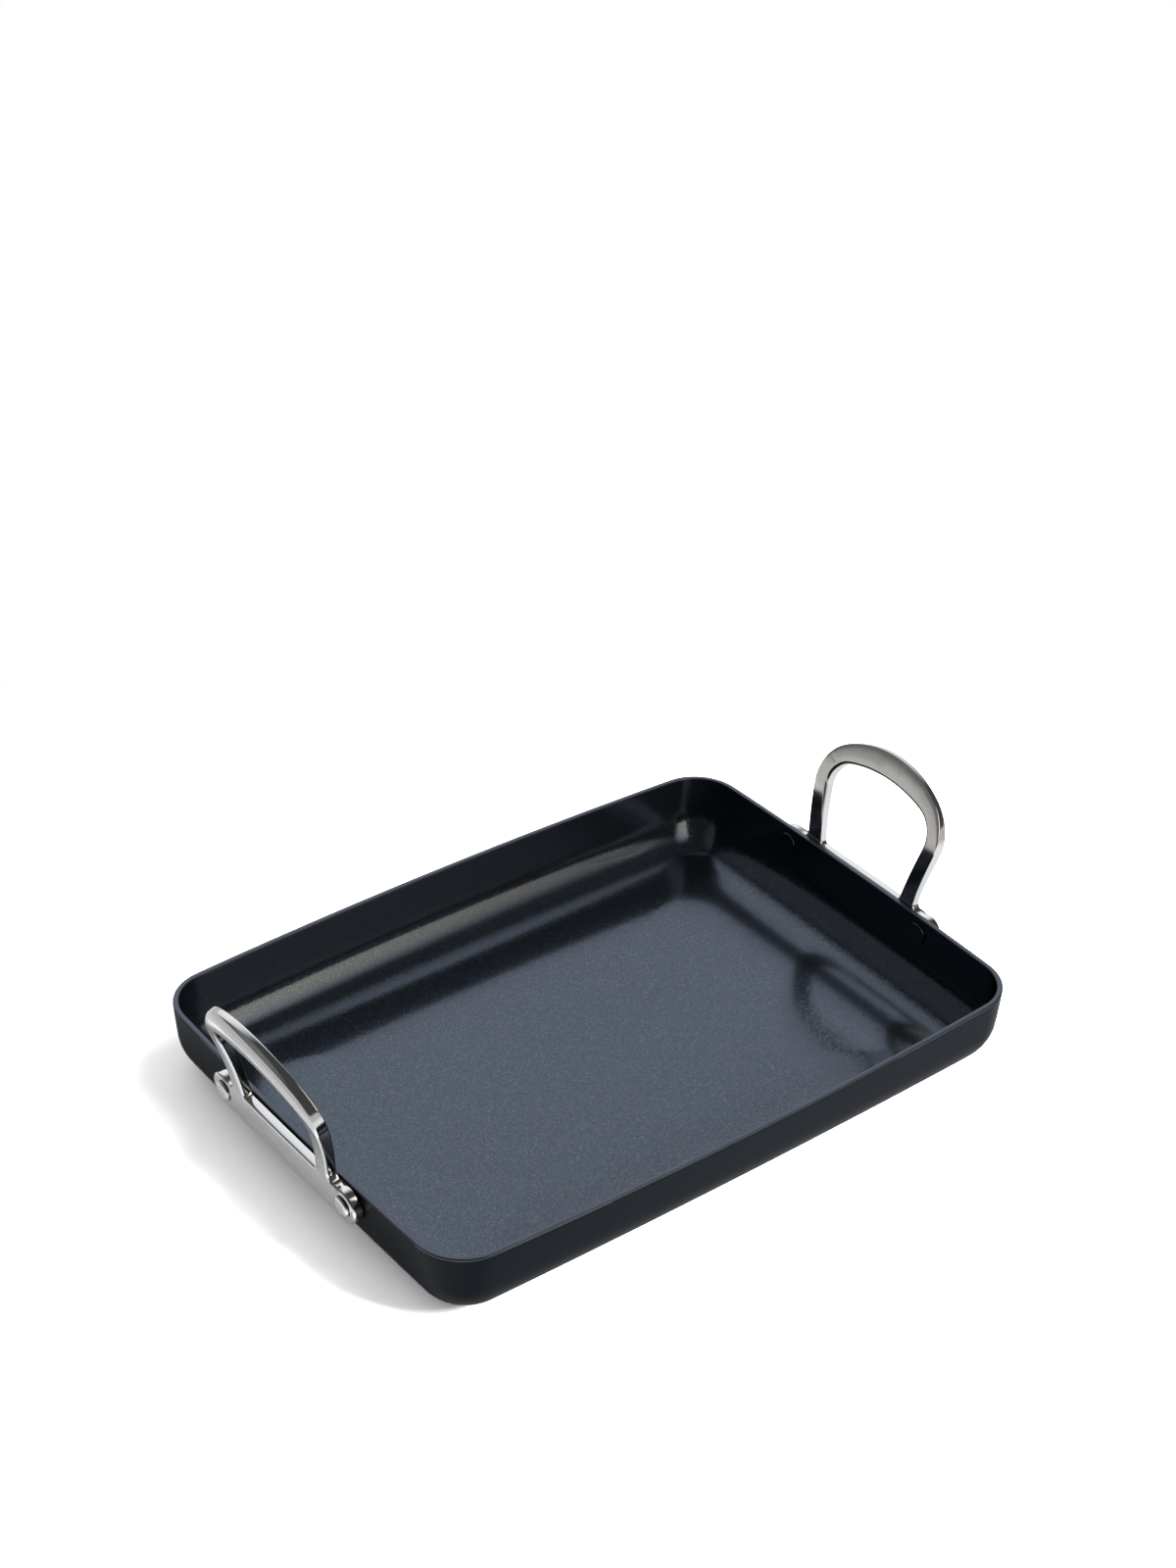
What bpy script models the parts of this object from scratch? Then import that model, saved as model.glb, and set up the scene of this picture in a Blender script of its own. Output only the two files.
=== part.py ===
"""Rectangular roasting pan with two riveted steel loop handles.

The pan stands on its flat base. The origin is the middle of the base, +X runs along the pan
to one handle, +Y across it and +Z up. All sizes are in metres.
"""

import math

import bmesh
import bpy
from mathutils import Matrix, Vector

# Pan body, over the outside of the metal
PAN_LENGTH = 0.360
PAN_WIDTH = 0.2624
PAN_HEIGHT = 0.044
WALL = 0.003
WALL_DRAFT = math.radians(6.6)
BASE_ROUNDING = 0.0279
RIM_CORNER = 0.0267
CORNER_TIGHTENING = 0.65
LONG_SIDE_BOW = 0.0060
SHORT_SIDE_BOW = 0.0026
BOW_LEFT_AT_BASE = 0.25
RIM_EDGE = 0.0007

# Handle, laid flat: across is along the short wall, up is from the lower edge of its plate.
# It grows from the plate's thickness to the grip's between the two heights of THICKENS_OVER,
# and is bent from the wall's lean to its own between LEAN_STARTS and LEAN_ENDS.
PLATE_HEIGHT = 0.0186
PLATE_THICKNESS = 0.0055
GRIP_THICKNESS = 0.0076
THICKENS_OVER = (0.018, 0.076)
RIVET_SPACING = 0.1021
RIVETS_BELOW_RIM = 0.0099
ARCH_HEIGHT = 0.0879
ARCH_CROWN_RADIUS = 0.0645
ARCH_SHOULDER_RADIUS = 0.0275
NECK_HEIGHT = 0.0274
NECK_HALF_WIDTH = 0.0421
LEG_SPLAY = math.radians(9.4)
LOBE_BEYOND_RIVET = 0.0007
LOBE_FILLET = 0.0045
WINDOW_HEIGHT = 0.0736
WINDOW_CROWN_RADIUS = 0.086
WINDOW_SHOULDER_RADIUS = 0.0155
WINDOW_HALF_WIDTH = 0.0308
WINDOW_SPLAY = math.radians(10.4)
WINDOW_FOOT_RADIUS = 0.0022
HANDLE_LEAN = math.radians(20.4)
LEAN_STARTS = 0.0188
LEAN_ENDS = 0.0641

# Edges of the handle's metal. Between the two heights of GRIP_OVER the front's edge widens
# into a roll that ends in a crease near the back of the grip's top.
EDGE_ROUNDING = 0.0012
BACK_EDGE = 0.0008
GRIP_UNDERSIDE = 0.0020
GRIP_ROLL_INWARDS = 0.0070
GRIP_ROLL_DEPTH = 0.0040
GRIP_CREASE = math.radians(30)
GRIP_OVER = (0.052, 0.082)

# Rivets; a head's dome is the (width, depth) of the quarter ellipse round its edge
SHANK_RADIUS = 0.0030
INNER_HEAD_RADIUS = 0.00625
INNER_HEAD_HEIGHT = 0.0010
OUTER_HEAD_RADIUS = 0.0057
OUTER_HEAD_HEIGHT = 0.0014
OUTER_HEAD_DOME = (0.0026, 0.0011)
INNER_HEAD_DOME = (0.0006, 0.0005)

# Air left between neighbouring pieces
SEAT_GAP = 0.0003
HOLE_CLEARANCE = 0.0003

# Facets
CORNER_STEPS = 11
LONG_SIDE_STEPS = 6
SHORT_SIDE_STEPS = 5
BASE_STEPS = 9
CROWN_STEPS = 11
SHOULDER_STEPS = 13
LEG_STEPS = 5
NECK_STEPS = 5
LOBE_STEPS = 13
LOWER_STEPS = 6
EDGE_STEPS = 3
DOME_STEPS = 4
ROLL_STEPS = 7
TURNED_STEPS = 28
SMOOTH_BELOW = math.radians(40)


def clear_scene():
    for item in list(bpy.data.objects):
        bpy.data.objects.remove(item, do_unlink=True)


def finish(name, colour, roughness, metallic):
    """A plain Principled material."""
    material = bpy.data.materials.new(name)
    material.use_nodes = True
    shader = material.node_tree.nodes["Principled BSDF"]
    shader.inputs["Base Color"].default_value = (*colour, 1.0)
    shader.inputs["Roughness"].default_value = roughness
    shader.inputs["Metallic"].default_value = metallic
    return material


def smooth_mesh(name, bm, material):
    """Turn a bmesh into a mesh with its faces out, round areas smooth and real edges sharp."""
    bmesh.ops.recalc_face_normals(bm, faces=bm.faces[:])
    mesh = bpy.data.meshes.new(name)
    bm.to_mesh(mesh)
    bm.free()
    mesh.materials.append(material)
    mesh.shade_smooth()
    mesh.set_sharp_from_angle(angle=SMOOTH_BELOW)
    return mesh


def place(name, mesh):
    item = bpy.data.objects.new(name, mesh)
    bpy.context.scene.collection.objects.link(item)
    return item


def skin(bm, rings, round_trip=False):
    """Quads between neighbouring rings of points; a round trip joins the last ring to the first."""
    made = [[bm.verts.new(point) for point in ring] for ring in rings]
    pairs = list(zip(made, made[1:]))
    if round_trip:
        pairs.append((made[-1], made[0]))
    for lower, upper in pairs:
        for i, corner in enumerate(lower):
            following = (i + 1) % len(lower)
            bm.faces.new((corner, lower[following], upper[following], upper[i]))
    return made


def capped_skin(rings):
    """A closed body from a stack of rings, with a flat face over each end."""
    bm = bmesh.new()
    made = skin(bm, rings)
    bm.faces.new(made[0])
    bm.faces.new(made[-1])
    return bm


def arc(centre, radius, start, end, steps):
    """Points round an arc, the last one left out, so that arcs can be chained."""
    turn = (end - start) / steps
    angles = [start + turn * i for i in range(steps)]
    return [centre + radius * Vector((math.cos(a), math.sin(a))) for a in angles]


def circles_meet(centre_a, radius_a, centre_b, radius_b):
    """Where two circles cross, on the side of the greater x."""
    between = centre_b - centre_a
    distance = between.length
    along = (distance**2 + radius_a**2 - radius_b**2) / (2 * distance)
    aside = math.sqrt(radius_a**2 - along**2)
    direction = between / distance
    foot = centre_a + along * direction
    side = Vector((-direction.y, direction.x))
    return max(foot + aside * side, foot - aside * side, key=lambda point: point.x)


def angle_of(vector):
    return math.atan2(vector.y, vector.x)


# Pan body: a pressed aluminium tray, its sides bowed outwards a little and its base flat


def bow_radius(chord, bow):
    return (chord**2 / 4 + bow**2) / (2 * bow)


def bowed_rectangle(length, width, corner, long_bow, short_bow):
    """A rounded rectangle whose sides are shallow arcs that run smoothly into its corners."""
    end_radius = bow_radius(width, short_bow)
    side_radius = bow_radius(length, long_bow)
    end_centre = Vector((length / 2 - end_radius, 0))
    side_centre = Vector((0, width / 2 - side_radius))
    middle = circles_meet(end_centre, end_radius - corner, side_centre, side_radius - corner)
    first = angle_of(middle - end_centre)
    last = angle_of(middle - side_centre)
    quarter = arc(end_centre, end_radius, 0, first, SHORT_SIDE_STEPS)
    quarter += arc(middle, corner, first, last, CORNER_STEPS)
    quarter += arc(side_centre, side_radius, last, math.pi / 2, LONG_SIDE_STEPS)
    quarter.append(Vector((0, width / 2)))
    left = [Vector((-p.x, p.y)) for p in reversed(quarter[:-1])]
    half = quarter + left
    return half + [Vector((p.x, -p.y)) for p in reversed(half[1:-1])]


def tray_ring(inset, height, thickness):
    """The tray's outline at one height; thickness is how far inside the outer skin it lies."""
    depth = (PAN_HEIGHT - height) / PAN_HEIGHT
    bow = 1 - (1 - BOW_LEFT_AT_BASE) * depth
    corner = RIM_CORNER - thickness - CORNER_TIGHTENING * (inset - thickness)
    flat = bowed_rectangle(
        PAN_LENGTH - 2 * inset,
        PAN_WIDTH - 2 * inset,
        corner,
        LONG_SIDE_BOW * bow,
        SHORT_SIDE_BOW * bow,
    )
    return [Vector((p.x, p.y, height)) for p in flat]


def wall_inset(height):
    """How far the outside of the wall lies inside the rim, at a height on its straight part."""
    return (PAN_HEIGHT - height) * math.tan(WALL_DRAFT)


def rounding_centre():
    """(inset, height) of the middle of the rounding between the wall and the base."""
    height = BASE_ROUNDING
    tangent_height = height - BASE_ROUNDING * math.sin(WALL_DRAFT)
    return wall_inset(tangent_height) + BASE_ROUNDING * math.cos(WALL_DRAFT), height


def rounding_rings(radius, thickness):
    """Rings from the flat up round the rounding to where the straight wall starts."""
    inset, height = rounding_centre()
    rings = []
    for i in range(BASE_STEPS + 1):
        angle = math.pi / 2 + (WALL_DRAFT - math.pi / 2) * i / BASE_STEPS
        rings.append(
            tray_ring(inset - radius * math.cos(angle), height - radius * math.sin(angle), thickness)
        )
    return rings


def rim_rings():
    """The rim's flat top between its two small rounded edges."""
    rings = []
    for inwards, down in rounding(RIM_EDGE, RIM_EDGE, EDGE_STEPS):
        rings.append(tray_ring(inwards, PAN_HEIGHT - down, 0))
    for inwards, down in reversed(rounding(RIM_EDGE, RIM_EDGE, EDGE_STEPS)):
        rings.append(tray_ring(WALL - inwards, PAN_HEIGHT - down, WALL))
    return rings


def pan_body(rivet_places):
    rings = rounding_rings(BASE_ROUNDING, 0)
    rings += rim_rings()
    rings += reversed(rounding_rings(BASE_ROUNDING - WALL, WALL))
    coated_metal = finish("anodised_aluminium", (0.030, 0.036, 0.044), 0.35, 0.6)
    body = place("pan_body", smooth_mesh("pan_body", capped_skin(rings), coated_metal))
    drill(body, rivet_places)
    return body


# Handles: flat steel bent to lean outwards, its plate flat against the short wall


def lean_at(up):
    bent = min(max((up - LEAN_STARTS) / (LEAN_ENDS - LEAN_STARTS), 0), 1)
    return WALL_DRAFT + bent * (HANDLE_LEAN - WALL_DRAFT)


def lean_offset(up):
    """(outwards, upwards) of a point at this height up the back of the handle, from the rivet line."""
    rivet_up = PLATE_HEIGHT / 2
    if up <= LEAN_STARTS:
        run = up - rivet_up
        return run * math.sin(WALL_DRAFT), run * math.cos(WALL_DRAFT)
    run = LEAN_STARTS - rivet_up
    out, rise = run * math.sin(WALL_DRAFT), run * math.cos(WALL_DRAFT)
    bend_radius = (LEAN_ENDS - LEAN_STARTS) / (HANDLE_LEAN - WALL_DRAFT)
    lean = lean_at(up)
    out += bend_radius * (math.cos(WALL_DRAFT) - math.cos(lean))
    rise += bend_radius * (math.sin(lean) - math.sin(WALL_DRAFT))
    straight = max(up - LEAN_ENDS, 0)
    return out + straight * math.sin(lean), rise + straight * math.cos(lean)


def on_handle(across, up, out):
    """The place in the pan's frame of a point on the flat handle, out from the handle's back."""
    lean = lean_at(up)
    offset, rise = lean_offset(up)
    rivet_height = PAN_HEIGHT - RIVETS_BELOW_RIM
    back = PAN_LENGTH / 2 - wall_inset(rivet_height) + SEAT_GAP / math.cos(WALL_DRAFT)
    depth = RIVETS_BELOW_RIM / PAN_HEIGHT
    bow = SHORT_SIDE_BOW * (1 - (1 - BOW_LEFT_AT_BASE) * depth)
    bow_drop = across**2 / (2 * bow_radius(PAN_WIDTH, bow))
    return Vector(
        (
            back + offset - bow_drop + out * math.cos(lean),
            across,
            rivet_height + rise - out * math.sin(lean),
        )
    )


def arch(foot, splay, shoulder, crown, top):
    """Centre of the shoulder arc, and its two end angles, between a leg's edge and the crown arc.

    The leg's edge starts at foot and splays outwards; the crown arc is centred under top.
    """
    edge = Vector((math.sin(splay), math.cos(splay)))
    inwards = Vector((-math.cos(splay), math.sin(splay)))
    crown_centre = Vector((0, top - crown))
    reach = foot + shoulder * inwards - crown_centre
    half = reach.dot(edge)
    run = -half + math.sqrt(half**2 - reach.length_squared + (crown - shoulder) ** 2)
    centre = crown_centre + reach + run * edge
    return centre, -splay, angle_of(centre - crown_centre)


def outer_outline():
    """Half of the handle's outer edge, from the crown down a leg and round the lobe to the
    middle of the lower edge, as (point, inward normal) pairs.
    """
    lobe_radius = PLATE_HEIGHT / 2
    lobe = Vector((RIVET_SPACING / 2 + LOBE_BEYOND_RIVET, lobe_radius))
    foot = Vector((NECK_HALF_WIDTH, NECK_HEIGHT))
    centre, leg_angle, crown_angle = arch(
        foot, LEG_SPLAY, ARCH_SHOULDER_RADIUS, ARCH_CROWN_RADIUS, ARCH_HEIGHT
    )
    crown_centre = Vector((0, ARCH_HEIGHT - ARCH_CROWN_RADIUS))
    outward = Vector((math.cos(leg_angle), math.sin(leg_angle)))
    # The fillet's centre keeps its radius from the leg's edge and from the lobe
    fillet_line = foot + LOBE_FILLET * outward
    edge = Vector((-outward.y, outward.x))
    reach = fillet_line - lobe
    half = reach.dot(edge)
    run = -half + math.sqrt(half**2 - reach.length_squared + (lobe_radius + LOBE_FILLET) ** 2)
    fillet = fillet_line + run * edge
    meet = angle_of(fillet - lobe)
    leg_top = centre + ARCH_SHOULDER_RADIUS * outward
    leg_foot = fillet - LOBE_FILLET * outward
    crown = turned_stretch(crown_centre, ARCH_CROWN_RADIUS, math.pi / 2, crown_angle, CROWN_STEPS)
    shoulder = turned_stretch(centre, ARCH_SHOULDER_RADIUS, crown_angle, leg_angle, SHOULDER_STEPS)
    leg = straight_stretch(leg_top, leg_foot, LEG_STEPS)
    neck = turned_stretch(fillet, LOBE_FILLET, leg_angle + math.pi, meet + math.pi, NECK_STEPS, -1)
    lobe_edge = turned_stretch(lobe, lobe_radius, meet, -math.pi / 2, LOBE_STEPS)
    lower = straight_stretch(Vector((lobe.x, 0)), Vector((0, 0)), LOWER_STEPS)
    return crown + shoulder + leg + neck + lobe_edge + lower


def turned_stretch(centre, radius, start, end, steps, facing=1):
    """Points round an arc with their inward normals; facing is -1 on a hollow arc."""
    points = arc(centre, radius, start, end, steps)
    return [(point, facing * (centre - point).normalized()) for point in points]


def straight_stretch(start, end, steps):
    """Points along a straight edge with the normal on its right, the last point left out."""
    run = (end - start).normalized()
    normal = Vector((run.y, -run.x))
    return [(start.lerp(end, i / steps), normal) for i in range(steps)]


def window_outline():
    """Half of the window's edge with its normals into the metal, matched to the outer edge."""
    foot = Vector((WINDOW_HALF_WIDTH, PLATE_HEIGHT))
    centre, leg_angle, crown_angle = arch(
        foot, WINDOW_SPLAY, WINDOW_SHOULDER_RADIUS, WINDOW_CROWN_RADIUS, WINDOW_HEIGHT
    )
    crown_centre = Vector((0, WINDOW_HEIGHT - WINDOW_CROWN_RADIUS))
    outward = Vector((math.cos(leg_angle), math.sin(leg_angle)))
    leg_top = centre + WINDOW_SHOULDER_RADIUS * outward
    # The foot's small rounding touches the leg's edge and the plate's upper edge
    radius = WINDOW_FOOT_RADIUS
    edge = (leg_top - foot).normalized()
    inside = (math.pi / 2 + WINDOW_SPLAY) / 2
    foot_run = radius / math.tan(inside)
    corner = Vector((foot.x - foot_run, foot.y + radius))
    crown = turned_stretch(crown_centre, WINDOW_CROWN_RADIUS, math.pi / 2, crown_angle, CROWN_STEPS)
    shoulder = turned_stretch(centre, WINDOW_SHOULDER_RADIUS, crown_angle, leg_angle, SHOULDER_STEPS)
    leg = straight_stretch(leg_top, foot + foot_run * edge, LEG_STEPS)
    turn = turned_stretch(corner, radius, leg_angle, -math.pi / 2, NECK_STEPS + LOBE_STEPS)
    lower = straight_stretch(Vector((corner.x, foot.y)), Vector((0, foot.y)), LOWER_STEPS)
    stretches = crown + shoulder + leg + turn + lower
    return [(point, -normal) for point, normal in stretches]


def blend(start, end, value):
    """0 below start, 1 above end and smooth between."""
    part = min(max((value - start) / (end - start), 0), 1)
    return part * part * (3 - 2 * part)


def rounding(width, depth, steps, first=0.0):
    """(inwards, down) pairs round an edge, from the side to the face, as part of an ellipse.

    A first angle above 0 starts part of the way round, which leaves a crease at the side.
    """
    pairs = []
    for i in range(steps + 1):
        angle = first + (math.pi / 2 - first) * i / steps
        inwards = width * (math.cos(first) - math.cos(angle)) / math.cos(first)
        down = depth * (1 - math.sin(angle)) / (1 - math.sin(first))
        pairs.append((inwards, down))
    return pairs


def along_edge(edge, offsets):
    """Places on the handle at (inwards, out) offsets from a (point, inward normal) pair."""
    point, normal = edge
    flat = [(point + inwards * normal, out) for inwards, out in offsets]
    return [on_handle(place_on.x, place_on.y, out) for place_on, out in flat]


def handle_section(outer, window):
    """One slice across the handle's metal: over its outer edge, down the front to the window
    and back along the rear, as a closed ring of points.
    """
    up = outer[0].y
    grip = blend(*GRIP_OVER, up)
    thickening = blend(*THICKENS_OVER, up)
    thickness = PLATE_THICKNESS + thickening * (GRIP_THICKNESS - PLATE_THICKNESS)
    roll = EDGE_ROUNDING + grip * (GRIP_ROLL_INWARDS - EDGE_ROUNDING)
    roll_depth = EDGE_ROUNDING + grip * (GRIP_ROLL_DEPTH - EDGE_ROUNDING)
    underside = EDGE_ROUNDING + thickening * (GRIP_UNDERSIDE - EDGE_ROUNDING)
    back_edge = rounding(BACK_EDGE, BACK_EDGE, EDGE_STEPS)
    front_edge = rounding(roll, roll_depth, ROLL_STEPS, grip * GRIP_CREASE)
    window_front = rounding(EDGE_ROUNDING, EDGE_ROUNDING, EDGE_STEPS)
    window_back = rounding(underside, underside, EDGE_STEPS)
    points = along_edge(outer, list(reversed(back_edge)))
    points += along_edge(outer, [(inwards, thickness - down) for inwards, down in front_edge])
    front = [(inwards, thickness - down) for inwards, down in reversed(window_front)]
    middle_front = points[-1].lerp(along_edge(window, front[:1])[0], 0.5)
    points.append(middle_front)
    points += along_edge(window, front)
    points += along_edge(window, window_back)
    points.append(points[-1].lerp(points[0], 0.5))
    return points


def handle_mesh():
    last_outer = Vector((0, 0)), Vector((0, 1))
    last_window = Vector((0, PLATE_HEIGHT)), Vector((0, -1))
    outer = outer_outline() + [last_outer]
    window = window_outline() + [last_window]
    half = [handle_section(a, b) for a, b in zip(outer, window)]
    mirrored = [[Vector((p.x, -p.y, p.z)) for p in ring] for ring in reversed(half[1:-1])]
    bm = bmesh.new()
    skin(bm, half + mirrored, round_trip=True)
    steel = finish("brushed_steel", (0.62, 0.60, 0.57), 0.22, 1.0)
    return smooth_mesh("loop_handle", bm, steel)


# Rivets: turned pins with a flat coated head inside the pan and a low domed head outside


def turned_body(profile, steps=TURNED_STEPS):
    """A body turned about Z from (radius, height) pairs, bottom to top."""
    rings = []
    for radius, height in profile:
        turns = [2 * math.pi * i / steps for i in range(steps)]
        rings.append([Vector((radius * math.cos(t), radius * math.sin(t), height)) for t in turns])
    return capped_skin(rings)


def head_profile(radius, height, dome):
    """(radius, height) pairs over a low head: a short side, then a dome round a flat middle."""
    width, depth = dome
    pairs = [(radius, 0)]
    pairs += [(radius - inwards, height - down) for inwards, down in rounding(width, depth, DOME_STEPS)]
    return pairs


def rivet_mesh():
    """The rivet along Z: its outer head up, and the back of the handle at height 0."""
    grip_end = PLATE_THICKNESS + SEAT_GAP
    wall_end = -2 * SEAT_GAP - WALL
    inner = head_profile(INNER_HEAD_RADIUS, INNER_HEAD_HEIGHT, INNER_HEAD_DOME)
    outer = head_profile(OUTER_HEAD_RADIUS, OUTER_HEAD_HEIGHT, OUTER_HEAD_DOME)
    profile = [(radius, wall_end - height) for radius, height in reversed(inner)]
    profile += [(SHANK_RADIUS, wall_end), (SHANK_RADIUS, grip_end)]
    profile += [(radius, grip_end + height) for radius, height in outer]
    steel = finish("rivet_steel", (0.60, 0.59, 0.57), 0.30, 1.0)
    return smooth_mesh("rivet", turned_body(profile), steel)


def rivet_place(end, side):
    """The rivet's frame: end is 1 or -1 along X, side 1 or -1 along Y."""
    origin = on_handle(end * side * RIVET_SPACING / 2, PLATE_HEIGHT / 2, 0)
    tilt = Matrix.Rotation(math.pi / 2 + WALL_DRAFT, 4, "Y")
    half_turn = Matrix.Rotation(0 if end > 0 else math.pi, 4, "Z")
    return half_turn @ Matrix.Translation(origin) @ tilt


def drill(item, places):
    """Cut a rivet hole through the item at each place."""
    for number, frame in enumerate(places, 1):
        radius = SHANK_RADIUS + HOLE_CLEARANCE
        reach = 2 * (WALL + PLATE_THICKNESS)
        bm = turned_body([(radius, -reach), (radius, reach)])
        bmesh.ops.recalc_face_normals(bm, faces=bm.faces[:])
        mesh = bpy.data.meshes.new(f"{item.name}_drill_{number}")
        bm.to_mesh(mesh)
        bm.free()
        cutter = place(mesh.name, mesh)
        cutter.matrix_world = frame
        cutter.hide_render = True
        cutter.display_type = "WIRE"
        cut = item.modifiers.new(f"rivet_hole_{number}", "BOOLEAN")
        cut.operation = "DIFFERENCE"
        cut.solver = "EXACT"
        cut.object = cutter


def build():
    clear_scene()
    ends = {"right": 1, "left": -1}
    sides = {"back": 1, "front": -1}
    places = {
        f"{end_name}_handle_{side_name}_rivet": rivet_place(end, side)
        for end_name, end in ends.items()
        for side_name, side in sides.items()
    }
    pan_body(places.values())
    loop = handle_mesh()
    for end_name, end in ends.items():
        handle = place(f"{end_name}_handle", loop)
        handle.rotation_euler.z = 0 if end > 0 else math.pi
        drill(handle, [rivet_place(end, side) for side in sides.values()])
    pin = rivet_mesh()
    for name, frame in places.items():
        rivet = place(name, pin)
        rivet.matrix_world = frame


build()
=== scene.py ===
"""A rectangular roasting pan with two riveted loop handles, dressed for a studio photograph."""

import math

import bpy
from mathutils import Matrix, Vector


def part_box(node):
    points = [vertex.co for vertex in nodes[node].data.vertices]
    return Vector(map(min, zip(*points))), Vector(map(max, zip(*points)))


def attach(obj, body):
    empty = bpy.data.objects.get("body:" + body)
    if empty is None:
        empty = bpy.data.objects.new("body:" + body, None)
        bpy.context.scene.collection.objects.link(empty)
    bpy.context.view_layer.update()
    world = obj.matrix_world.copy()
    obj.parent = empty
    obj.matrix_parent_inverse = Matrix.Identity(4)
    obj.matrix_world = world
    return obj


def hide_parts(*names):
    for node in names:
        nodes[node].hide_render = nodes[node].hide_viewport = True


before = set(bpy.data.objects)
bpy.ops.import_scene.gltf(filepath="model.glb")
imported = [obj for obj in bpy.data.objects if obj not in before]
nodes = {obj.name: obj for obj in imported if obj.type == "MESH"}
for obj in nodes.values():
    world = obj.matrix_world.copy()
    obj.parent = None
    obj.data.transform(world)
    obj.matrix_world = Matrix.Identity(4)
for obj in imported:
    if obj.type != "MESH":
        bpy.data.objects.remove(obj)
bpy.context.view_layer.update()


# The tray is one pressing of 3 mm aluminium. It is hard anodised to a dark slate outside and
# carries a ceramic coat with mica in it inside. The rim between them is cut and rounded.

WELD = 0.000002
QUAD_TURN = math.radians(14)
SAME_PLANE = math.radians(0.3)
REAL_EDGE = math.radians(36)
BORE_REACH = 0.0042
BORE_DEPTH = 0.02
BORE_FACES_X = 0.5
WALL_ROUND_RIVET = 0.018
WALL_FACES_X = 0.9
LEVEL_FACES_Z = 0.9999
FLAT_BELOW = 0.01
MIDDLE_REACH = 0.01
FLAT_BORDER = (0.935, 0.90, 1.0)
FLAT_MIDDLE = (0.6, 0.6, 1.0)
ROUNDING_RUNS_OUT = (0.962, 0.958, 1.0)
RUN_OUT_REACH = 0.013
FLOOR_RINGS = [
    ((0.958, 0.934, 1.0), 0.0),
    ((0.855, 0.906, 1.0), 0.0004),
    ((0.805, 0.857, 1.0), 0.0004),
    ((0.630, 0.600, 1.0), 0.0005),
]
TRAY_SMOOTHING = 2
RIM_STARTS = 0.0434


def piece_from(node_name, piece_name):
    """A new piece on a node's shape, its loose triangles welded into one skin."""
    piece = bpy.data.objects.new(piece_name, nodes[node_name].data.copy())
    bpy.context.scene.collection.objects.link(piece)
    bpy.ops.object.select_all(action="DESELECT")
    piece.select_set(True)
    bpy.context.view_layer.objects.active = piece
    piece.data.materials.clear()
    bpy.ops.mesh.customdata_custom_splitnormals_clear()
    bpy.ops.object.mode_set(mode="EDIT")
    bpy.ops.mesh.select_all(action="SELECT")
    bpy.ops.mesh.remove_doubles(threshold=WELD)
    bpy.ops.object.mode_set(mode="OBJECT")
    return piece


def select_faces(piece, chosen):
    """Select the faces for which chosen(centre, normal) holds, and stay in edit mode."""
    bpy.ops.object.mode_set(mode="EDIT")
    bpy.ops.mesh.select_mode(type="FACE")
    bpy.ops.mesh.select_all(action="DESELECT")
    bpy.ops.object.mode_set(mode="OBJECT")
    for face in piece.data.polygons:
        face.select = chosen(face.center, face.normal)
    bpy.ops.object.mode_set(mode="EDIT")


def rivet_middle(rivet):
    """The middle of a rivet's node, halfway through the wall."""
    low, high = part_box(rivet)
    return (Vector(low) + Vector(high)) / 2


def close_bores(piece, rivets):
    """Fill the rivet bores, which the heads cover, so that the faces round them stay smooth."""
    for rivet in rivets:
        middle = rivet_middle(rivet)

        def in_bore(centre, normal):
            aside = math.hypot(centre.y - middle.y, centre.z - middle.z)
            near = abs(centre.x - middle.x) < BORE_DEPTH
            return near and aside < BORE_REACH and abs(normal.x) < BORE_FACES_X

        select_faces(piece, in_bore)
        bpy.ops.mesh.delete(type="FACE")
    bpy.ops.mesh.select_mode(type="EDGE")
    bpy.ops.mesh.select_all(action="DESELECT")
    bpy.ops.mesh.select_non_manifold(extend=False, use_wire=False, use_multi_face=False,
                                     use_non_contiguous=False, use_verts=False)
    bpy.ops.mesh.fill_holes(sides=0)
    bpy.ops.object.mode_set(mode="OBJECT")


def pair_into_quads():
    """Pair the active piece's triangles into quads, which subdivide evenly."""
    bpy.ops.object.mode_set(mode="EDIT")
    bpy.ops.mesh.select_mode(type="FACE")
    bpy.ops.mesh.select_all(action="SELECT")
    bpy.ops.mesh.tris_convert_to_quads(face_threshold=QUAD_TURN, shape_threshold=math.pi,
                                       topology_influence=1.0)
    bpy.ops.object.mode_set(mode="OBJECT")


def smooth_over(piece, levels, creases):
    """Subdivide the piece. Each (angle, weight) of creases holds the edges that turn by more."""
    bpy.ops.object.mode_set(mode="EDIT")
    bpy.ops.mesh.select_mode(type="EDGE")
    for angle, weight in creases:
        bpy.ops.mesh.select_all(action="DESELECT")
        bpy.ops.mesh.edges_select_sharp(sharpness=angle)
        bpy.ops.transform.edge_crease(value=weight)
    bpy.ops.object.mode_set(mode="OBJECT")
    smoothing = piece.modifiers.new("smoothing", "SUBSURF")
    smoothing.levels = levels
    smoothing.render_levels = levels
    bpy.ops.object.modifier_apply(modifier=smoothing.name)
    bpy.ops.object.shade_smooth_by_angle(angle=REAL_EDGE)


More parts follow.
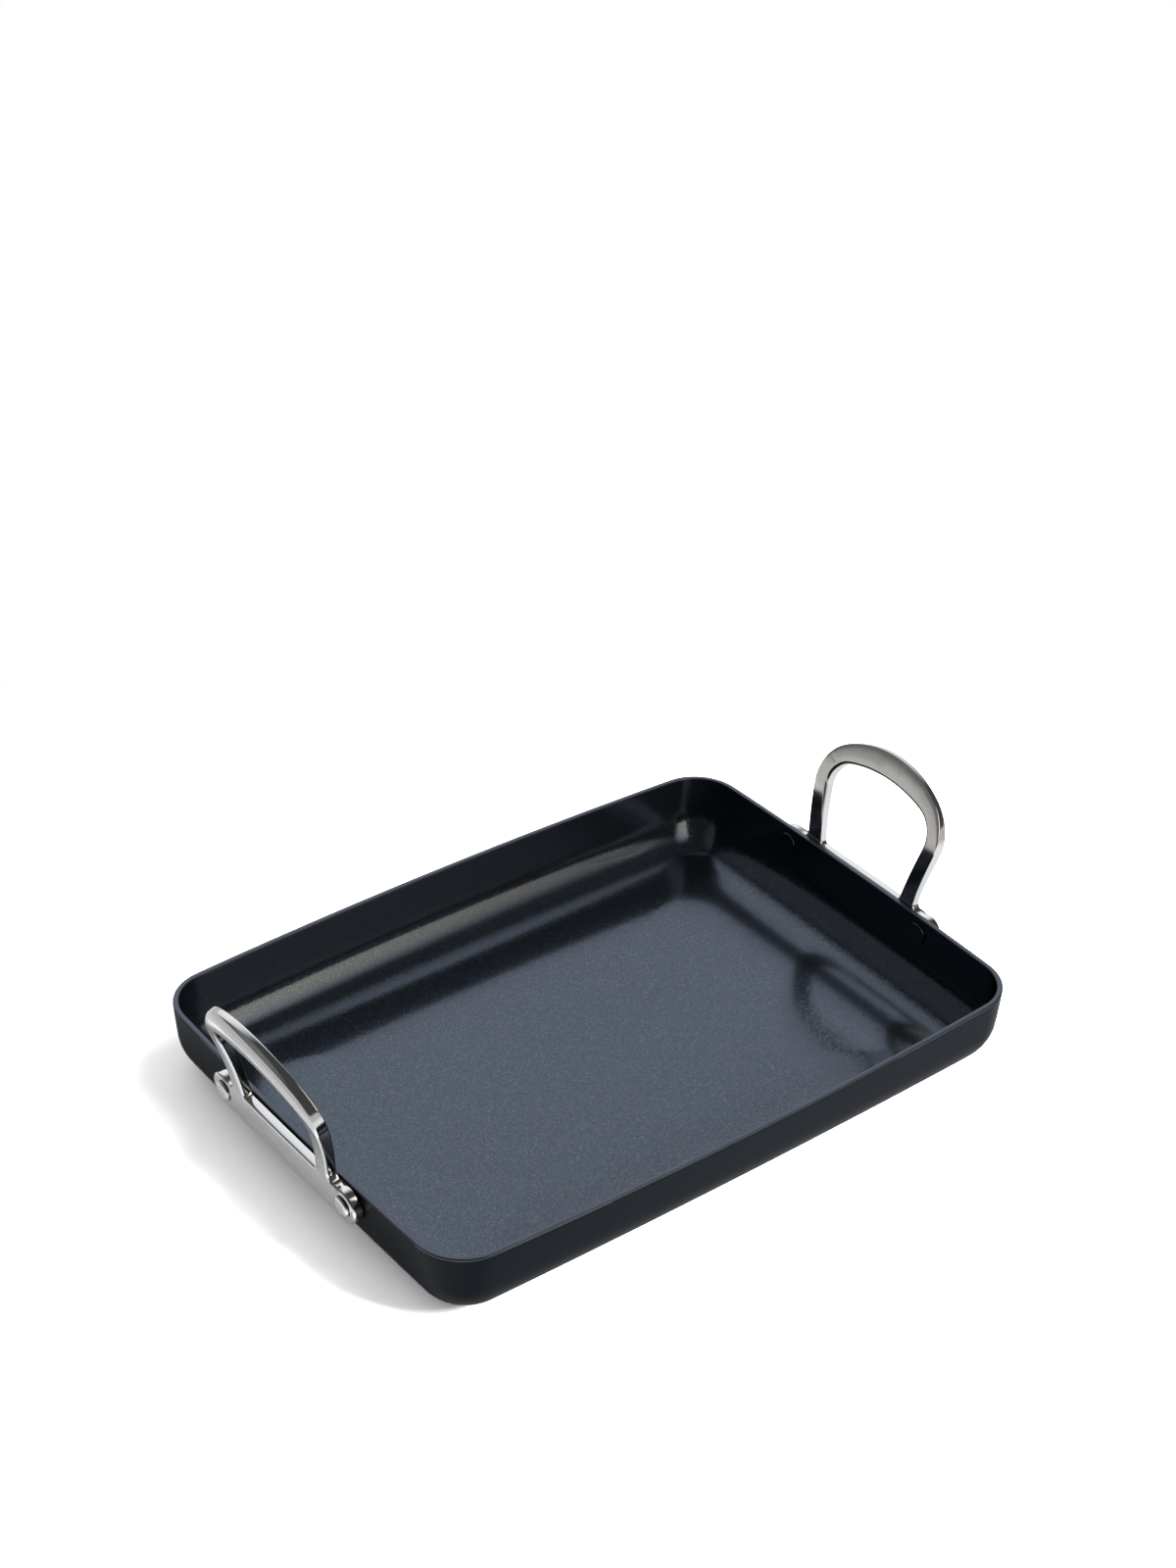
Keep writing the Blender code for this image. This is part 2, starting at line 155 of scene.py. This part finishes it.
class Value:
    """A node socket that takes arithmetic, which adds the Math nodes for it."""

    def __init__(self, graph, socket):
        self.graph = graph
        self.socket = socket

    def combine(self, operation, first, second):
        return self.graph.add("ShaderNodeMath", {"operation": operation}, {0: first, 1: second})

    def __add__(self, other):
        return self.combine("ADD", self, other)

    def __radd__(self, other):
        return self.combine("ADD", other, self)

    def __sub__(self, other):
        return self.combine("SUBTRACT", self, other)

    def __rsub__(self, other):
        return self.combine("SUBTRACT", other, self)

    def __mul__(self, other):
        return self.combine("MULTIPLY", self, other)

    def __rmul__(self, other):
        return self.combine("MULTIPLY", other, self)

    def above(self, other):
        """One where this value is over the other, and zero elsewhere."""
        return self.combine("GREATER_THAN", self, other)


class Graph:
    """The nodes of one material or of the world."""

    def __init__(self, tree):
        self.tree = tree

    def add(self, kind, settings=None, inputs=None, output=0):
        """A node with its settings, then its inputs as values or links. It gives one output.

        An output node ends the graph and has none to give.
        """
        node = self.tree.nodes.new(kind)
        for name, value in (settings or {}).items():
            setattr(node, name, value)
        self.feed(node, inputs or {})
        return Value(self, node.outputs[output]) if node.outputs else None

    def feed(self, node, inputs):
        """Set each named input of a node, or link it when it is a Value."""
        for name, value in inputs.items():
            if isinstance(value, Value):
                self.tree.links.new(value.socket, node.inputs[name])
            else:
                node.inputs[name].default_value = value

    def mix(self, factor, first, second):
        """A colour between two colours."""
        return self.add("ShaderNodeMix", {"data_type": "RGBA"},
                        {0: factor, 6: first, 7: second}, output=2)

    def vector(self, operation, first, second, output=0):
        """Vector Math on two vectors."""
        return self.add("ShaderNodeVectorMath", {"operation": operation},
                        {0: first, 1: second}, output=output)

    def ramp(self, value, start, end, low=0.0, high=1.0):
        """low below start and high above end, with a soft step between."""
        return self.add("ShaderNodeMapRange", {"interpolation_type": "SMOOTHSTEP"},
                        {0: value, 1: start, 2: end, 3: low, 4: high})

    def noise(self, place, scale, detail=2.0, roughness=0.5):
        """Smooth noise between 0 and 1, with so many cells to the metre."""
        return self.add("ShaderNodeTexNoise", inputs={
            "Vector": place, "Scale": scale, "Detail": detail, "Roughness": roughness})


def new_finish(name):
    """A material, its graph, its shader and the object coordinates on it."""
    material = bpy.data.materials.new(name)
    material.use_nodes = True
    graph = Graph(material.node_tree)
    place = graph.add("ShaderNodeTexCoord", output="Object")
    return material, graph, material.node_tree.nodes["Principled BSDF"], place


def colour(red, green, blue):
    """An opaque colour, linear."""
    return (red, green, blue, 1.0)


def grey(level):
    """An opaque grey, linear."""
    return colour(level, level, level)


# the anodised layer: dark slate, satin, with a very fine etched grain

outside, graph, shader, place = new_finish("hard_anodised")
drift = graph.noise(place, scale=9.0, detail=3.0)
grain = graph.noise(place, scale=2600.0, detail=1.0)
patches = graph.noise(place, scale=160.0, detail=3.0, roughness=0.6)
graph.feed(shader, {
    "Base Color": graph.mix(drift, colour(0.0074, 0.0096, 0.0132),
                            colour(0.0092, 0.0118, 0.0160)),
    "Roughness": 0.30 + 0.06 * patches + 0.05 * grain,
    "Specular IOR Level": 0.03,
    "Normal": graph.add("ShaderNodeBump", inputs={
        "Strength": 0.25, "Distance": 0.00003, "Height": grain}),
})

# the ceramic coat: dark slate with paler mica flakes, each tilted a little its own way, so that
# they catch the light one by one

FLAKE_SIZE = 0.00042
FLAKE_SHARE = 0.18
FLAKE_TILT = 0.10

inside, graph, shader, place = new_finish("ceramic_coat")
cells = graph.add("ShaderNodeTexVoronoi", inputs={
    "Vector": place, "Scale": 1 / FLAKE_SIZE, "Randomness": 1.0}, output="Color")
chance = graph.add("ShaderNodeSeparateColor", inputs={0: cells}, output=0)
flakes = chance.above(1 - FLAKE_SHARE)
drift = graph.noise(place, scale=14.0)
dark = graph.mix(drift, colour(0.064, 0.079, 0.104), colour(0.069, 0.085, 0.111))
mica = colour(0.120, 0.135, 0.156)
normal = graph.add("ShaderNodeNewGeometry", output="Normal")
tilt = graph.vector("SUBTRACT", cells, (0.5, 0.5, 0.5))
lean = graph.add("ShaderNodeVectorMath", {"operation": "SCALE"},
                 {0: tilt, 3: flakes * FLAKE_TILT})
tilted = graph.vector("ADD", normal, lean)
facing = graph.add("ShaderNodeVectorMath", {"operation": "NORMALIZE"}, {0: tilted})
graph.feed(shader, {
    "Base Color": graph.mix(flakes, dark, mica),
    "Metallic": 0.93,
    "Specular Tint": grey(0.5),
    "Roughness": 0.12 + 0.02 * drift + 0.04 * flakes,
    "Normal": facing,
})

# the rim: the same dark layer on a machined edge, which shines more than the walls outside

rim_edge, graph, shader, place = new_finish("rim_edge")
drift = graph.noise(place, scale=60.0, detail=3.0)
grain = graph.noise(place, scale=1800.0)
graph.feed(shader, {
    "Base Color": graph.mix(drift, colour(0.070, 0.081, 0.107), colour(0.089, 0.102, 0.135)),
    "Metallic": 1.0,
    "Roughness": 0.26 + 0.10 * grain,
    "Normal": graph.add("ShaderNodeBump", inputs={
        "Strength": 0.2, "Distance": 0.00002, "Height": grain}),
})

tray = piece_from("pan_body", "tray")
rivet_names = [name for name in sorted(nodes) if name.endswith("_rivet")]
close_bores(tray, rivet_names)
for rivet in rivet_names:
    middle = rivet_middle(rivet)
    select_faces(tray, lambda c, n: (
        (c - middle).length < WALL_ROUND_RIVET and abs(n.x) > WALL_FACES_X))
    bpy.ops.mesh.dissolve_limited(angle_limit=SAME_PLANE, use_dissolve_boundaries=False)
    bpy.ops.object.mode_set(mode="OBJECT")


def is_flat(centre, normal):
    """The level faces of the base and of the floor inside."""
    return abs(normal.z) > LEVEL_FACES_Z and centre.z < FLAT_BELOW


def is_base(centre, normal):
    """The middle face of the underside."""
    return is_flat(centre, normal) and normal.z < 0 and centre.xy.length < MIDDLE_REACH


def is_floor(centre, normal):
    """The middle face of the floor inside."""
    return is_flat(centre, normal) and normal.z > 0 and centre.xy.length < MIDDLE_REACH


select_faces(tray, is_flat)
bpy.ops.mesh.dissolve_faces()
pair_into_quads()
select_faces(tray, is_base)
for size in (FLAT_BORDER, FLAT_MIDDLE):
    bpy.ops.mesh.inset(thickness=0.0)
    bpy.ops.transform.resize(value=size, center_override=(0, 0, 0))

# the floor inside runs gently out of the rounding and is crowned a little in the middle

select_faces(tray, is_floor)
bpy.ops.transform.resize(
    value=ROUNDING_RUNS_OUT, center_override=(0, 0, 0), use_proportional_edit=True,
    use_proportional_connected=True, proportional_edit_falloff="SMOOTH",
    proportional_size=RUN_OUT_REACH)
for size, rise in FLOOR_RINGS:
    bpy.ops.mesh.inset(thickness=0.0)
    bpy.ops.transform.resize(value=size, center_override=(0, 0, 0))
    bpy.ops.transform.translate(value=(0, 0, rise))
bpy.ops.object.mode_set(mode="OBJECT")
smooth_over(tray, TRAY_SMOOTHING, [(REAL_EDGE, 1.0)])

for finish in (outside, inside, rim_edge):
    tray.data.materials.append(finish)
for slot, chosen in (
    (1, lambda c, n: n.z > 0 and c.z <= RIM_STARTS),
    (2, lambda c, n: c.z > RIM_STARTS),
):
    select_faces(tray, chosen)
    tray.active_material_index = slot
    bpy.ops.object.material_slot_assign()
    bpy.ops.object.mode_set(mode="OBJECT")

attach(tray, "root")
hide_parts("pan_body")


# The two loop handles are cast stainless steel with rounded edges, ground to a fine satin. Each
# plate lies flat against a short wall, and the grip over it leans outwards.

HANDLE_SMOOTHING = 2
HANDLE_CREASES = [(math.radians(31.0), 0.10), (math.radians(33.0), 0.15)]
BUFFING_STRETCH = (1.0, 0.25, 1.0)

steel, graph, shader, place = new_finish("satin_steel")
drift = graph.noise(place, scale=40.0, detail=3.0)
along_grip = graph.vector("MULTIPLY", place, BUFFING_STRETCH)
buffing = graph.noise(along_grip, scale=900.0, roughness=0.6)
pits = graph.noise(place, scale=3200.0, detail=1.0)
graph.feed(shader, {
    "Base Color": graph.mix(drift, colour(0.60, 0.61, 0.615), colour(0.64, 0.65, 0.655)),
    "Metallic": 1.0,
    "Roughness": 0.07 + 0.02 * drift + 0.04 * buffing,
    "Normal": graph.add("ShaderNodeBump", inputs={
        "Strength": 0.12, "Distance": 0.00001, "Height": buffing + 0.5 * pits}),
})

for end in ("left", "right"):
    node_name = f"{end}_handle"
    handle = piece_from(node_name, f"loop_handle_{end}")
    close_bores(handle, [name for name in rivet_names if name.startswith(end)])
    pair_into_quads()
    smooth_over(handle, HANDLE_SMOOTHING, HANDLE_CREASES)
    handle.data.materials.append(steel)
    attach(handle, "root")
    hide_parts(node_name)


# Four rivets go through handle and wall. The steel head outside is pressed to a low dome, and
# the flat head inside carries the tray's coat.

RIVET_SMOOTHING = 2
CAP_FACES_X = 0.99
CAP_REACH = 0.004
CAP_FROM_MIDDLE = 0.004
CAP_BORDER = 0.0004

head_steel, graph, shader, place = new_finish("rivet_steel")
drift = graph.noise(place, scale=150.0, detail=3.0)
grain = graph.noise(place, scale=2200.0)
graph.feed(shader, {
    "Base Color": graph.mix(drift, colour(0.57, 0.57, 0.565), colour(0.64, 0.64, 0.635)),
    "Metallic": 1.0,
    "Roughness": 0.22 + 0.06 * grain,
    "Normal": graph.add("ShaderNodeBump", inputs={
        "Strength": 0.10, "Distance": 0.00002, "Height": grain}),
})

for node_name in rivet_names:
    end, _, side, _ = node_name.split("_")
    rivet = piece_from(node_name, f"rivet_{end}_{side}")
    middle = rivet_middle(node_name)
    outwards = -1 if end == "left" else 1

    def is_cap(centre, normal):
        aside = math.hypot(centre.y - middle.y, centre.z - middle.z)
        outermost = abs(centre.x - middle.x) > CAP_FROM_MIDDLE
        return abs(normal.x) > CAP_FACES_X and aside < CAP_REACH and outermost

    select_faces(rivet, is_cap)
    bpy.ops.mesh.dissolve_faces()
    pair_into_quads()
    select_faces(rivet, is_cap)
    bpy.ops.mesh.inset(thickness=CAP_BORDER, use_individual=True)
    bpy.ops.object.mode_set(mode="OBJECT")
    smooth_over(rivet, RIVET_SMOOTHING, [(REAL_EDGE, 1.0)])
    rivet.data.materials.append(head_steel)
    rivet.data.materials.append(inside)
    select_faces(rivet, lambda c, n: (c.x - middle.x) * outwards < 0)
    rivet.active_material_index = 1
    bpy.ops.object.material_slot_assign()
    bpy.ops.object.mode_set(mode="OBJECT")
    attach(rivet, "root")
    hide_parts(node_name)


# The floor is a wide sheet of white paper. Near the pan it takes the shadow, and further out
# it is plain white to the camera. The paper that the pan mirrors has a brightness of its own,
# which is highest on the left, where the wall and the handle mirror it. There it is painted
# light, which lifts the pan's shadow out of those reflections.

FLOOR_HALF = 9.0
FLOOR_DROP = 0.0002
SHADE_REACH = (0.30, 0.50)
PAPER = 0.88
PAPER_TO_CAMERA = 4.0
PAN_FOOT = (0.165, 0.120, 1.0)
LEFT_OF_PAN = (-0.205, -0.165)
# painted light: the mirrored paper on the left, which lies in the pan's shadow, is made bright
MIRRORED_PAINTED_LIGHT_LEFT = 2.8
MIRRORED_NEAR = 0.95
MIRRORED_FAR = 1.05
MIRRORED_REACH = (0.03, 0.09)
MIRRORED_BEYOND = colour(0.68, 0.65, 0.61)

bpy.ops.object.select_all(action="DESELECT")
bpy.ops.mesh.primitive_plane_add(size=2 * FLOOR_HALF, location=(0, 0, -FLOOR_DROP))
floor = bpy.context.object
floor.name = "paper_floor"
bpy.ops.object.transform_apply(location=True, rotation=True, scale=True)

paper = bpy.data.materials.new("white_paper")
paper.use_nodes = True
paper.node_tree.nodes.clear()
graph = Graph(paper.node_tree)
place = graph.add("ShaderNodeTexCoord", output="Object")
camera_ray = graph.add("ShaderNodeLightPath", output="Is Camera Ray")
glossy_ray = graph.add("ShaderNodeLightPath", output="Is Glossy Ray")
from_middle = graph.vector("LENGTH", place, (0, 0, 0), output="Value")

# from_foot is how far a point of the paper lies outside the pan's foot

beyond = graph.vector("SUBTRACT", graph.vector("ABSOLUTE", place, (0, 0, 0)), PAN_FOOT)
from_foot = graph.vector("LENGTH", graph.vector("MAXIMUM", beyond, (0, 0, 0)), (0, 0, 0),
                         output="Value")

along = graph.add("ShaderNodeSeparateXYZ", inputs={0: place}, output=0)
# painted light over the pan's shadow, seen only in what the wall and the handle mirror
painted_light_close_by = graph.mix(graph.ramp(along, *LEFT_OF_PAN), grey(MIRRORED_PAINTED_LIGHT_LEFT), grey(MIRRORED_NEAR))
mirrored = graph.mix(graph.ramp(from_foot, *MIRRORED_REACH), painted_light_close_by, grey(MIRRORED_FAR))
seen = graph.mix(camera_ray, graph.mix(glossy_ray, grey(PAPER), mirrored), grey(PAPER_TO_CAMERA))
lit = graph.add("ShaderNodeBsdfDiffuse", inputs={"Color": seen})
background = graph.mix(camera_ray, MIRRORED_BEYOND, grey(1.0))
white = graph.add("ShaderNodeEmission", inputs={"Color": background, "Strength": 1.0})
plain = graph.add("ShaderNodeMixShader", inputs={
    0: (camera_ray + glossy_ray) * graph.ramp(from_middle, *SHADE_REACH), 1: lit, 2: white})
graph.add("ShaderNodeOutputMaterial", inputs={"Surface": plain})
floor.data.materials.append(paper)


# The studio is a dark room with a soft key in front, a weak fill high on the right and a warm
# softbox near the front right corner. The pan also mirrors a wide panel behind it and a faint
# one on the left.

AMBIENT = 0.26
DARK_ROOM = 0.07
PANEL_SIDE = (62, 23)
PANEL_EDGES = (50, 12)
PANEL_GLOW = 1.22
FAINT_SIDE = (150, 30)
FAINT_EDGES = (42, 18)
FAINT_GLOW = 0.14
KEY = ("key", (-60, 37), 0.8, 0.62)
FILL = ("fill", (-30, 65), 0.9, 0.12)
LAMP_DISTANCE = 2.2

world = bpy.data.worlds.new("studio")
bpy.context.scene.world = world
world.use_nodes = True
world.cycles.sampling_method = "NONE"
world.node_tree.nodes.clear()
graph = Graph(world.node_tree)
toward = graph.add("ShaderNodeTexCoord", output="Generated")


def direction(azimuth, elevation):
    """A unit vector from the pan, with the azimuth from +X towards +Y, in degrees."""
    flat = math.cos(math.radians(elevation))
    return Vector((flat * math.cos(math.radians(azimuth)), flat * math.sin(math.radians(azimuth)),
                   math.sin(math.radians(elevation))))


def glow(side, edges, strength):
    """A soft round light on the room's wall, its outer and inner edge in degrees from its side."""
    beside = graph.vector("DOT_PRODUCT", toward, direction(*side), output="Value")
    outer, inner = (math.cos(math.radians(angle)) for angle in edges)
    return graph.ramp(beside, outer, inner, 0.0, strength)


camera_ray = graph.add("ShaderNodeLightPath", output="Is Camera Ray")
glossy_ray = graph.add("ShaderNodeLightPath", output="Is Glossy Ray")
walls = (DARK_ROOM + glow(PANEL_SIDE, PANEL_EDGES, PANEL_GLOW)
         + glow(FAINT_SIDE, FAINT_EDGES, FAINT_GLOW))
strength = camera_ray + glossy_ray * walls + (1 - camera_ray - glossy_ray) * AMBIENT
studio = graph.add("ShaderNodeBackground", inputs={"Color": grey(1.0), "Strength": strength})
graph.add("ShaderNodeOutputWorld", inputs={"Surface": studio})


def lamp_at(name, place, aim, size, radiance):
    """An area lamp of even radiance at a place, which looks at the aim."""
    lamp = bpy.data.lights.new(name, "AREA")
    lamp.shape = "RECTANGLE"
    lamp.size, lamp.size_y = size
    lamp.energy = radiance * math.pi * size[0] * size[1]
    holder = bpy.data.objects.new(name, lamp)
    bpy.context.scene.collection.objects.link(holder)
    holder.location = place
    holder.rotation_euler = (Vector(place) - Vector(aim)).to_track_quat("Z", "Y").to_euler()
    holder.visible_camera = False
    return holder


# each lamp has its side, its size and its share of the light on the floor

for name, side, size, share in (KEY, FILL):
    radiance = share * math.pi * LAMP_DISTANCE**2 / (size**2 * math.sin(math.radians(side[1])))
    lamp = lamp_at(name, LAMP_DISTANCE * direction(*side), (0, 0, 0), (size, size), radiance)
    lamp.visible_glossy = False

# the warm softbox is brightest low on its left and fades to the right and upwards

BOX_MIDDLE = Vector((0.375, -0.46, 0.73))
BOX_SIZE = (0.75, 1.20)
BOX_FADES_RIGHT = (0.13, 0.98)
BOX_FADES_UP = (0.18, 1.14)
BOX_GLOW = 2.4
BOX_PALES_UP = (0.10, 0.60)
BOX_WARM = colour(1.0, 0.85, 0.62)
BOX_PALE = colour(1.0, 0.96, 0.86)

warm_box = lamp_at("warm_box", BOX_MIDDLE, BOX_MIDDLE + Vector((0, 1, 0)), BOX_SIZE, 1.0)
warm_box.visible_diffuse = False
warm_box.data.use_nodes = True
graph = Graph(warm_box.data.node_tree)
on_box = graph.add("ShaderNodeNewGeometry", output="Parametric")
across = graph.add("ShaderNodeSeparateXYZ", inputs={0: on_box}, output=0)
height = graph.add("ShaderNodeSeparateXYZ", inputs={0: on_box}, output=1)
fade = (graph.ramp(across, *BOX_FADES_RIGHT, BOX_GLOW, 0.0)
        * graph.ramp(height, *BOX_FADES_UP, 1.0, 0.0))
tint = graph.mix(graph.ramp(height, *BOX_PALES_UP), BOX_WARM, BOX_PALE)
graph.feed(graph.tree.nodes["Emission"], {"Color": tint, "Strength": fade})


# The camera stands off the front left corner and looks down on the pan through a long lens. Its
# azimuth counts from the front, and it is rolled a little, so that the pan fits the photograph.

CAMERA_AZIMUTH = math.radians(-38.94)
CAMERA_ELEVATION = math.radians(33.3)
CAMERA_ROLL = math.radians(2.07)
CAMERA_DISTANCE = 1.5856
CAMERA_TARGET = Vector((0.11327, 0.14951, 0.044))
CAMERA_LENS = 65.5

back = Vector((
    math.sin(CAMERA_AZIMUTH) * math.cos(CAMERA_ELEVATION),
    -math.cos(CAMERA_AZIMUTH) * math.cos(CAMERA_ELEVATION),
    math.sin(CAMERA_ELEVATION),
))
level = Vector((0, 0, 1)).cross(back).normalized()
upright = back.cross(level)
right = math.cos(CAMERA_ROLL) * level + math.sin(CAMERA_ROLL) * upright
up = math.cos(CAMERA_ROLL) * upright - math.sin(CAMERA_ROLL) * level
camera = bpy.data.objects.new("camera", bpy.data.cameras.new("camera"))
bpy.context.scene.collection.objects.link(camera)
camera.data.sensor_fit = "VERTICAL"
camera.data.sensor_height = 36.0
camera.data.lens = CAMERA_LENS
turn = Matrix((right, up, back)).transposed().to_4x4()
camera.matrix_world = Matrix.Translation(CAMERA_TARGET + CAMERA_DISTANCE * back) @ turn
bpy.context.scene.camera = camera
bpy.context.scene.view_settings.view_transform = "Standard"
